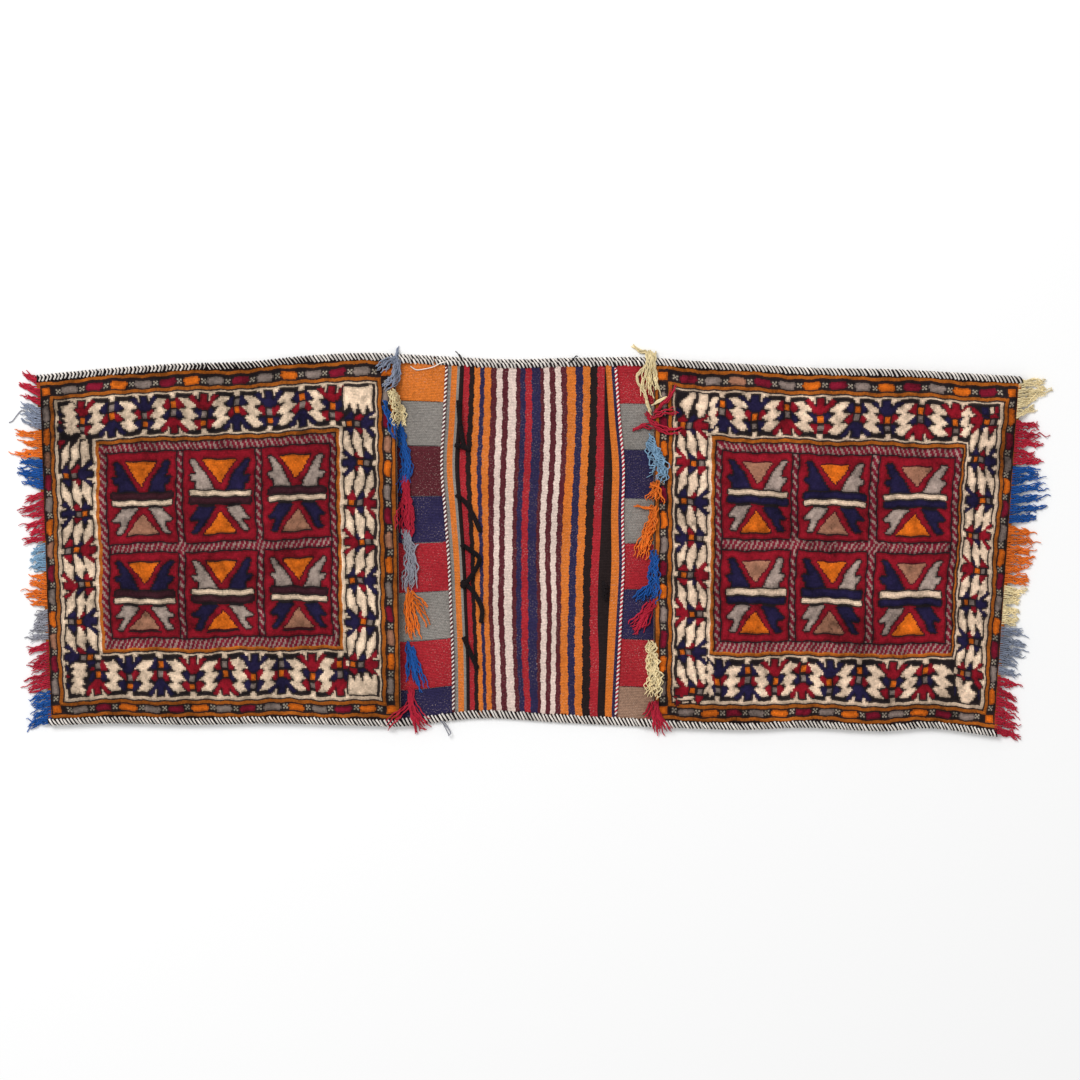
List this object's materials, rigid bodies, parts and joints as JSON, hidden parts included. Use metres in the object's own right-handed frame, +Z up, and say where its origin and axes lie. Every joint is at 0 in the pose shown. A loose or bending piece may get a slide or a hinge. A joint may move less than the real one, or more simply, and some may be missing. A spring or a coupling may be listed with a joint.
{
  "type": "kilim saddle bag",
  "caption": "Empty woven wool double saddle bag lying flat, its knotted pile pouches joined by a striped flat-woven bridge, with bound sides and coloured yarn fringes.",
  "frame": {"origin": "on the floor, under the middle of the striped bridge", "axes": "+X along the bag from the left pouch to the right one, +Y across it, +Z up out of the pile fronts"},
  "size_m": [1.4603, 0.5389, 0.0178],
  "materials": {
    "flat_weave": "ribbed flat-woven wool in plain stripes and blocks, slightly faded",
    "pile_weave_left": "short knotted wool pile in red, navy, ivory, orange, grey and black",
    "pile_weave_right": "short knotted wool pile in red, navy, ivory, orange, tan, grey and black",
    "overcast_edge": "black and white wool yarn overcast in slanting stitches",
    "black_yarn": "braided black wool yarn",
    "red_yarn": "loose twisted red wool yarn",
    "grey_blue_yarn": "loose twisted grey blue wool yarn",
    "orange_yarn": "loose twisted orange wool yarn",
    "blue_yarn": "loose twisted blue wool yarn",
    "light_blue_yarn": "loose twisted light blue wool yarn",
    "grey_yarn": "loose twisted grey wool yarn",
    "cream_yarn": "loose twisted cream wool yarn"
  },
  "bodies": {
    "root": {"woven_strip": "flat_weave", "front_panel_left": "pile_weave_left", "front_panel_right": "pile_weave_right", "edge_binding_upper": "overcast_edge", "edge_binding_lower": "overcast_edge", "lacing_cord": "black_yarn", "black_yarn_knot": "black_yarn", "fringe_left_end_01_red": "red_yarn", "fringe_left_end_02_grey_blue": "grey_blue_yarn", "fringe_left_end_03_orange": "orange_yarn", "fringe_left_end_04_blue": "blue_yarn", "fringe_left_end_05_red": "red_yarn", "fringe_left_end_06_light_blue": "light_blue_yarn", "fringe_left_end_07_orange": "orange_yarn", "fringe_left_end_08_grey": "grey_yarn", "fringe_left_end_09_red": "red_yarn", "fringe_left_end_10_blue": "blue_yarn", "fringe_right_end_01_cream": "cream_yarn", "fringe_right_end_02_red": "red_yarn", "fringe_right_end_03_blue": "blue_yarn", "fringe_right_end_04_orange": "orange_yarn", "fringe_right_end_05_cream": "cream_yarn", "fringe_right_end_06_grey_blue": "grey_blue_yarn", "fringe_right_end_07_red": "red_yarn", "fringe_left_mouth_01_grey_blue": "grey_blue_yarn", "fringe_left_mouth_02_cream": "cream_yarn", "fringe_left_mouth_03_blue": "blue_yarn", "fringe_left_mouth_04_red": "red_yarn", "fringe_left_mouth_05_grey": "grey_yarn", "fringe_left_mouth_06_orange": "orange_yarn", "fringe_left_mouth_07_blue": "blue_yarn", "fringe_left_mouth_08_red": "red_yarn", "fringe_right_mouth_01_cream": "cream_yarn", "fringe_right_mouth_02_red": "red_yarn", "fringe_right_mouth_03_light_blue": "light_blue_yarn", "fringe_right_mouth_04_orange": "orange_yarn", "fringe_right_mouth_05_blue": "blue_yarn", "fringe_right_mouth_06_red": "red_yarn", "fringe_right_mouth_07_cream": "cream_yarn", "fringe_right_mouth_08_red": "red_yarn"}
  },
  "joints": []
}
